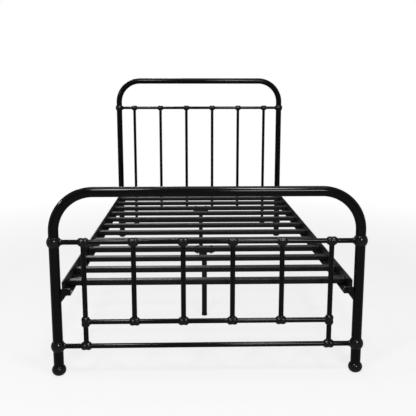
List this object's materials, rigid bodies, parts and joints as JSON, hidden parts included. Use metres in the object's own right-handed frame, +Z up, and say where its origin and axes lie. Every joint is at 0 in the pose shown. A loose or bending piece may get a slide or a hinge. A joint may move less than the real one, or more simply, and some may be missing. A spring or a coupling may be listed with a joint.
{
  "type": "metal bed frame",
  "caption": "Single metal bed frame: arched black tube head and foot boards with upright spindles and cast knuckles, angle side rails, a slatted base and centre legs.",
  "frame": {"origin": "on the floor under the middle of the frame: the bottom centre of the bounding box", "axes": "+X to the right seen from the foot end, +Y from the foot end to the head end, +Z up"},
  "size_m": [0.9952, 2.0052, 0.958],
  "materials": {
    "black_tube": "gloss black enamel on steel tube",
    "black_castings": "gloss black enamel on cast knuckles and feet",
    "black_base": "satin black powder coat on steel section",
    "black_plastic": "moulded, matt black",
    "blackened_steel": "black oxide",
    "zinc_steel": "bright zinc plated"
  },
  "bodies": {
    "frame": {"base_nuts": "zinc_steel", "base_screws": "blackened_steel", "corner_bolts": "blackened_steel", "corner_nuts": "zinc_steel", "corner_washers": "blackened_steel", "cross_bar_plugs": "black_plastic", "foot_bottom_knuckles": "black_castings", "foot_bottom_rail": "black_tube", "foot_glides": "black_plastic", "foot_hoop": "black_tube", "foot_left_ball_foot": "black_castings", "foot_left_bracket": "black_tube", "foot_lower_knuckles": "black_castings", "foot_lower_rail": "black_tube", "foot_post_collars": "black_castings", "foot_right_ball_foot": "black_castings", "foot_right_bracket": "black_tube", "foot_side_knuckles": "black_castings", "foot_spindle_1": "black_tube", "foot_spindle_2": "black_tube", "foot_spindle_3": "black_tube", "foot_spindle_4": "black_tube", "foot_spindle_5": "black_tube", "foot_spindle_6": "black_tube", "foot_upper_knuckles": "black_castings", "foot_upper_rail": "black_tube", "front_cross_bar": "black_base", "front_leg": "black_base", "head_bottom_knuckles": "black_castings", "head_bottom_rail": "black_tube", "head_glides": "black_plastic", "head_hoop": "black_tube", "head_left_ball_foot": "black_castings", "head_left_bracket": "black_tube", "head_lower_knuckles": "black_castings", "head_lower_rail": "black_tube", "head_post_collars": "black_castings", "head_right_ball_foot": "black_castings", "head_right_bracket": "black_tube", "head_side_knuckles": "black_castings", "head_spindle_1": "black_tube", "head_spindle_2": "black_tube", "head_spindle_3": "black_tube", "head_spindle_4": "black_tube", "head_spindle_5": "black_tube", "head_spindle_6": "black_tube", "head_upper_knuckles": "black_castings", "head_upper_rail": "black_tube", "left_side_rail": "black_base", "leg_inserts": "black_plastic", "leg_plates": "black_base", "rail_end_plates": "black_base", "rear_cross_bar": "black_base", "rear_leg": "black_base", "right_side_rail": "black_base", "slat_end_caps": "black_plastic", "slats": "black_base"},
    "front_glide": {"front_leg_glide": "black_plastic"},
    "rear_glide": {"rear_leg_glide": "black_plastic"}
  },
  "joints": [
    {"name": "front_glide_screw", "type": "slide", "parent": "frame", "child": "front_glide", "axis": [0, 0, -1], "range_m": [0, 0.012]},
    {"name": "rear_glide_screw", "type": "slide", "parent": "frame", "child": "rear_glide", "axis": [0, 0, -1], "range_m": [0, 0.012]}
  ]
}
